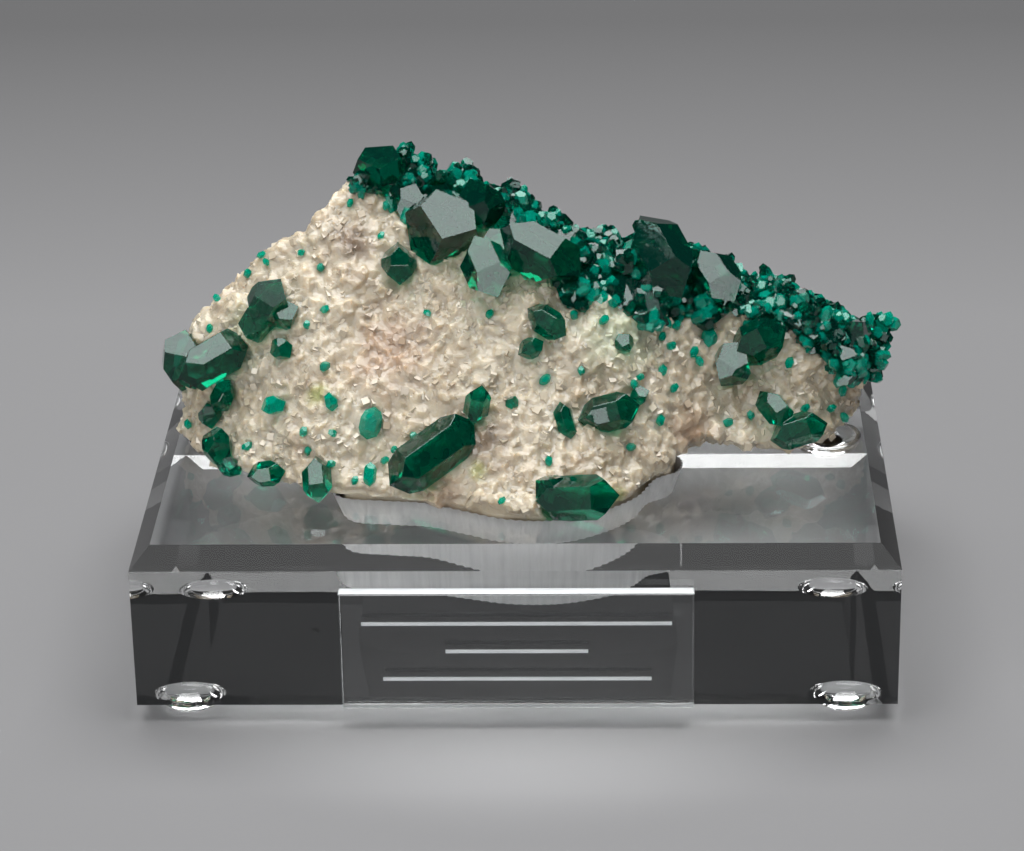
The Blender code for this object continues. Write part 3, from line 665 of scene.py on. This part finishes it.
def finish_base(base):
    """Milled finish inside the pocket and soft shading on the feet."""
    pivot = Vector((CENTRE_X, FRONT_Y)) + POCKET_CENTRE * MM
    keep_two_finishes(base)
    for face in base.data.polygons:
        middle = face.center
        near = (middle.xy - pivot).length < POCKET_REACH and middle.y > FRONT_Y + POCKET_SETBACK
        level = POCKET_FLOOR - FACE_SLACK < middle.z < BLOCK_HIGH.z - FACE_SLACK
        inside = level and near
        on_foot = middle.z < BLOCK_LOW.z - FACE_SLACK
        on_wall = inside and abs(face.normal.z) < WALL_LIMIT
        face.material_index = 1 if inside else 0
        face.use_smooth = on_foot or on_wall
    base.data.update()


# The label plate

def make_label(clear, sawn):
    """Clear plate with three engraved rules, and sawn edges."""
    low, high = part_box("label_plate")
    middle = (low + high) / 2.0
    bm = slab(high - low, middle)
    chamfer(bm, bm.edges[:], LABEL_CHAMFER)
    plate = new_piece(bm, "label_dressed", clear, sawn)
    for length, height in RULES:
        size = (length * MM, 2.0 * RULE_DEPTH, RULE_WIDTH)
        cutter = slab(size, (middle.x, low.y, low.z + height * MM))
        combine(plate, new_piece(cutter, "rule_cut"), "DIFFERENCE")
    keep_two_finishes(plate)
    for face in plate.data.polygons:
        place = face.center
        sunk = low.y + RULE_SLACK < place.y < low.y + RULE_DEPTH + RULE_SLACK
        across = abs(place.x - middle.x) < RULE_FIELD[0]
        upright = abs(place.z - middle.z) < RULE_FIELD[1]
        on_edge = abs(face.normal.y) < RIM_LIMIT
        face.material_index = 1 if on_edge or (sunk and across and upright) else 0
    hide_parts("label_plate")
    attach(plate, "root")


# The calcite

def grain_rise(place, normal, size):
    """Height of the three-sided tips crowded round a place, from about -0.5 to 0.5."""
    across = normal.cross(GRAIN_AXIS).normalized()
    along = normal.cross(across)
    height = -1.0
    for point in noise.voronoi(place / size)[1]:
        offset = place / size - point
        x = offset.dot(across)
        y = offset.dot(along)
        turn = math.tau * noise.cell(point * TURN_SEED)
        slope = max(x * math.cos(turn + third) + y * math.sin(turn + third) for third in THIRDS)
        tip = GRAIN_TIP + GRAIN_TIP_SPREAD * noise.cell(point * TIP_SEED)
        tip -= GRAIN_CURVE * abs(offset.dot(normal))
        height = max(height, tip - GRAIN_SLOPE * slope)
    return height


def rhomb(size, flatness):
    """Small rhombohedron with its long diagonal along Z."""
    bm = bmesh.new()
    bmesh.ops.create_cube(bm, size=size)
    diagonal = Vector((1.0, 1.0, 1.0)).rotation_difference(Vector((0.0, 0.0, 1.0))).to_matrix()
    bmesh.ops.rotate(bm, matrix=diagonal, verts=bm.verts)
    bmesh.ops.scale(bm, vec=(1.0, 1.0, flatness), verts=bm.verts)
    return bm


def surface_points(mesh, count, accept):
    """Places and normals spread over a mesh by area."""
    mesh.calc_loop_triangles()
    picked, weights = [], []
    for triangle in mesh.loop_triangles:
        corners = [mesh.vertices[index].co for index in triangle.vertices]
        middle = (corners[0] + corners[1] + corners[2]) / 3.0
        if accept(middle, triangle):
            picked.append((corners, triangle.normal.copy()))
            weights.append(triangle.area)
    places = []
    for corners, normal in chance.choices(picked, weights=weights, k=count):
        u, v = chance.random(), chance.random()
        if u + v > 1.0:
            u, v = 1.0 - u, 1.0 - v
        spot = corners[0] + (corners[1] - corners[0]) * u + (corners[2] - corners[0]) * v
        places.append((spot, normal))
    return places


def scatter(name, bodies, places, turn_for, material):
    """Many small bodies joined in one mesh, each set on its place."""
    meshes = []
    for number, bm in enumerate(bodies):
        mesh = bpy.data.meshes.new(f"{name}_pattern_{number}")
        bm.to_mesh(mesh)
        bm.free()
        meshes.append(mesh)
    total = bmesh.new()
    for number, (spot, normal) in enumerate(places):
        mesh = meshes[number % len(meshes)].copy()
        mesh.transform(turn_for(spot, normal))
        total.from_mesh(mesh)
        bpy.data.meshes.remove(mesh)
    for mesh in meshes:
        bpy.data.meshes.remove(mesh)
    return new_piece(total, name, material)


def leaning(normal, spread_angle):
    """A direction near a normal."""
    wild = Vector((chance.gauss(0, 1), chance.gauss(0, 1), chance.gauss(0, 1))).normalized()
    return (normal + wild * math.tan(math.radians(spread_angle)) * chance.random()).normalized()


def rhomb_crowd(name, rock, count, sizes, sunk, material):
    """Calcite rhombs crowded over the part of the rock that is clear of the block."""
    floor = BLOCK_HIGH.z + RHOMB_CLEARANCE

    def above(middle, triangle):
        return middle.z > floor

    def turn(spot, normal):
        size = chance.uniform(*sizes)
        axis = leaning(normal, RHOMB_LEAN)
        return moved_to(spot - normal * sunk * size * MM, axis, size)

    shapes = [rhomb(1.0 * MM, flatness) for flatness in RHOMB_FLATNESS]
    return scatter(name, shapes, surface_points(rock, count, above), turn, material)


def make_stone(calcite):
    """Rock with its grown crystals under one skin, soft as sugar."""
    stone = new_piece(solid_copy("calcite_matrix"), "calcite_body", calcite)
    rock = stone.data
    grown = rhomb_crowd("grown_rhombs", rock, GROWN_COUNT, GROWN_SIZES, GROWN_SUNK, calcite)
    bm = bmesh.new()
    bm.from_mesh(stone.data)
    bm.from_mesh(grown.data)
    bm.to_mesh(stone.data)
    bm.free()
    bpy.data.objects.remove(grown)
    step = stone.modifiers.new("skin", "REMESH")
    step.mode = "VOXEL"
    step.voxel_size = STONE_VOXEL
    settle(stone)
    clear_of_block = BLOCK_HIGH.z + SKIN_CLEARANCE
    normals = [vert.normal.copy() for vert in stone.data.vertices]
    for vert, normal in zip(stone.data.vertices, normals):
        place = vert.co.copy()
        if place.z < clear_of_block:
            continue
        rise = GRAIN_SHARE * GRAIN_SIZE * grain_rise(place, normal, GRAIN_SIZE)
        moved = place + normal * rise
        moved.z = max(moved.z, clear_of_block)
        vert.co = moved
    fewer = stone.modifiers.new("fewer_faces", "DECIMATE")
    fewer.ratio = min(1.0, STONE_TRIANGLES / (2.0 * len(stone.data.polygons)))
    settle(stone)
    if calcite.name not in stone.data.materials:
        stone.data.materials.clear()
        stone.data.materials.append(calcite)
    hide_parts("calcite_matrix")
    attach(stone, "root")
    return stone


def make_tips(stone, material):
    """Single glassy rhomb tips that stand out of the sugar."""
    tips = rhomb_crowd("calcite_tips", stone.data, TIP_COUNT, TIP_SIZES, TIP_SUNK, material)
    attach(tips, "root")


# Dioptase

def cut_end(bm, normal, distance):
    """One flat end face."""
    bmesh.ops.bisect_plane(
        bm,
        geom=bm.verts[:] + bm.edges[:] + bm.faces[:],
        dist=CUT_SLACK,
        plane_co=normal * distance,
        plane_no=normal,
        clear_outer=True,
    )
    rim = [edge for edge in bm.edges if edge.is_boundary]
    if rim:
        bmesh.ops.edgeloop_fill(bm, edges=rim)


def crystal_shape(length, width, uneven):
    """Six-sided prism closed by three sloping faces at each end, along Z."""
    bm = bmesh.new()
    bmesh.ops.create_cone(
        bm,
        cap_ends=True,
        segments=6,
        radius1=width / 2.0,
        radius2=width / 2.0,
        depth=length * SPARE_LENGTH,
    )
    slope = math.cos(END_FACE_ANGLE)
    for index, share in enumerate(uneven):
        end = 1.0 if index < 3 else -1.0
        angle = math.radians(120.0 * index + (0.0 if end > 0.0 else 60.0))
        normal = Vector((
            math.sin(END_FACE_ANGLE) * math.cos(angle),
            math.sin(END_FACE_ANGLE) * math.sin(angle),
            end * slope,
        ))
        cut_end(bm, normal, length / 2.0 * slope * share)
    bmesh.ops.recalc_face_normals(bm, faces=bm.faces)
    return bm


def dress_crystals(green):
    """Each crystal solid with crisp, slightly worn edges."""
    pieces = []
    for name in sorted(NODES):
        if not name.startswith("dioptase"):
            continue
        bm = solid_copy(name)
        bmesh.ops.dissolve_limit(
            bm,
            angle_limit=FLAT_ANGLE,
            verts=bm.verts[:],
            edges=bm.edges[:],
        )
        if name != "dioptase_ridge":
            sharp = [edge for edge in bm.edges if edge.calc_face_angle(0.0) > SHARP_ANGLE]
            chamfer(bm, sharp, EDGE_WEAR, True)
        piece = new_piece(bm, name.replace("dioptase", "crystal"), green)
        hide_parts(name)
        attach(piece, "root")
        pieces.append(piece)
    return pieces


def make_crust_crystals(name, ridge, green):
    """Small crystals crowded over the crust, away from the large faces."""
    small = [face.area < FACET_AREA for face in ridge.data.polygons]

    def on_crust(middle, triangle):
        x, y = sheet_place(middle)
        bare = any(math.hypot(x - left, y - down) < reach for left, down, reach in BARE_CRYSTALS)
        open_crust = small[triangle.polygon_index] or not bare
        return open_crust and middle.z > BLOCK_HIGH.z + CRUST_CLEARANCE

    def turn(spot, normal):
        axis = leaning((normal + CRUST_UPWARD).normalized(), CRUST_LEAN)
        size = chance.uniform(*CRUST_SIZES)
        return moved_to(spot + normal * CRUST_RISE, axis, size)

    shapes = [
        crystal_shape(length * MM, width * MM, uneven)
        for length, width, uneven in CRUST_SHAPES
    ]
    places = surface_points(ridge.data, CRUST_COUNT, on_crust)
    crust = scatter(name, shapes, places, turn, green)
    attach(crust, "root")


def make_singles(stone, green):
    """Small crystals that stand singly on the calcite."""
    tree = BVHTree.FromPolygons(
        [vert.co for vert in stone.data.vertices],
        [face.vertices[:] for face in stone.data.polygons],
    )
    total = bmesh.new()
    for x, y, length, width, lean in SINGLES:
        way = sight(x, y)
        place, normal, _, distance = tree.ray_cast(EYE, way)
        if place is None:
            continue
        step = distance / FOCAL
        angle = math.radians(lean)
        tilt = math.radians(chance.uniform(*SINGLE_TILT))
        along = RIGHT * math.cos(angle) + UP * math.sin(angle)
        axis = along * math.cos(tilt) - FORWARD * math.sin(tilt)
        uneven = tuple(chance.uniform(*SINGLE_UNEVEN) for _ in range(6))
        shape = crystal_shape(
            length * step * SINGLE_GROWTH[0],
            width * step * SINGLE_GROWTH[1],
            uneven,
        )
        centre = place + normal * width * step * SINGLE_RISE
        bmesh.ops.transform(shape, matrix=moved_to(centre, axis), verts=shape.verts)
        mesh = bpy.data.meshes.new("single")
        shape.to_mesh(mesh)
        shape.free()
        total.from_mesh(mesh)
        bpy.data.meshes.remove(mesh)
    singles = new_piece(total, "single_crystals", green)
    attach(singles, "root")


# Floor, light and camera

def make_floor():
    """Pale floor, darker far behind as painted shade, with a painted pool of light under the
    clear base.
    """
    material, tree, shader = new_material("pale_floor")
    coordinates = node(tree, "ShaderNodeTexCoord")
    parts = node(tree, "ShaderNodeSeparateXYZ")
    tree.links.new(coordinates.outputs["Object"], parts.inputs["Vector"])
    # Painted shade: the floor colour darkens toward the back, standing in for the light falling
    # off
    depth = node(tree, "ShaderNodeMapRange")
    depth.inputs["From Min"].default_value, depth.inputs["From Max"].default_value = FLOOR_RANGE
    tree.links.new(parts.outputs["Y"], depth.inputs["Value"])
    painted_falloff_tones = [(FLOOR_WARMTH * tone, FLOOR_WARMTH * tone, tone, 1.0) for tone in FLOOR_PAINTED_FALLOFF_TONES]
    tone = ramp(tree, depth.outputs["Result"], *zip((0.0, 0.5, 1.0), painted_falloff_tones))
    # Painted pool of light: the floor colour is lighter near the base, standing in for light that
    # comes through the clear block
    reach = node(tree, "ShaderNodeVectorMath", operation="LENGTH")
    tree.links.new(coordinates.outputs["Object"], reach.inputs[0])
    painted_pool = node(tree, "ShaderNodeMapRange", interpolation_type="SMOOTHSTEP")
    painted_pool.inputs["From Min"].default_value = PAINTED_POOL_REACH
    painted_pool.inputs["From Max"].default_value = 0.0
    painted_pool.inputs["To Max"].default_value = PAINTED_POOL_SHARE
    tree.links.new(reach.outputs["Value"], painted_pool.inputs["Value"])
    tone = blend_colours(tree, painted_pool.outputs["Result"], tone, PAINTED_POOL_TONE)
    tree.links.new(tone, shader.inputs["Base Color"])
    shader.inputs["Roughness"].default_value = 0.75
    shader.inputs["Specular IOR Level"].default_value = 0.2
    bm = bmesh.new()
    bmesh.ops.create_grid(bm, x_segments=1, y_segments=1, size=FLOOR_SIZE)
    floor = new_piece(bm, "studio_floor", material)


def area_light(name, place, target, size, power):
    light = bpy.data.lights.new(name, "AREA")
    light.shape = "RECTANGLE"
    light.size, light.size_y = size
    light.energy = power
    item = bpy.data.objects.new(name, light)
    item.location = place
    item.rotation_euler = (Vector(target) - Vector(place)).to_track_quat("-Z", "Y").to_euler()
    bpy.context.scene.collection.objects.link(item)


def make_light():
    world = bpy.data.worlds.new("studio")
    world.use_nodes = True
    background = world.node_tree.nodes["Background"]
    background.inputs["Color"].default_value = SKY_TINT
    background.inputs["Strength"].default_value = SKY_STRENGTH
    bpy.context.scene.world = world
    for name, (place, target, size, power) in LIGHTS.items():
        area_light(name, place, target, size, power)


def make_camera():
    camera = bpy.data.cameras.new("camera")
    camera.sensor_fit = "HORIZONTAL"
    camera.sensor_width = SENSOR
    camera.lens = FOCAL / PICTURE_WIDTH * SENSOR
    camera.clip_start = NEAREST
    camera.clip_end = FARTHEST
    item = bpy.data.objects.new("camera", camera)
    turn = Matrix((RIGHT, UP, -FORWARD)).transposed()
    item.matrix_world = Matrix.Translation(EYE) @ turn.to_4x4()
    bpy.context.scene.collection.objects.link(item)
    bpy.context.scene.camera = item


def main():
    bpy.context.scene.view_settings.view_transform = "Standard"
    clear = clear_acrylic()
    milled = frosted_acrylic("milled_acrylic", MILLED_STREAK, linear(*MILLED_WHITE), 0.0)
    sawn = frosted_acrylic("sawn_acrylic", SAWN_STREAK, linear(*SAWN_WHITE), 0.35)
    calcite = cream_calcite()
    green = green_dioptase("deep_dioptase", *DEEP_GREEN)
    bright = green_dioptase("small_dioptase", *BRIGHT_GREEN)
    make_base(clear, milled)
    make_label(clear, sawn)
    stone = make_stone(calcite)
    make_tips(stone, glassy_calcite())
    dressed = dress_crystals(green)
    ridge = next(piece for piece in dressed if piece.name == "crystal_ridge")
    make_crust_crystals("crust_crystals", ridge, bright)
    make_crust_crystals("crust_crystals_deep", ridge, green)
    make_singles(stone, bright)
    make_floor()
    make_light()
    make_camera()


main()
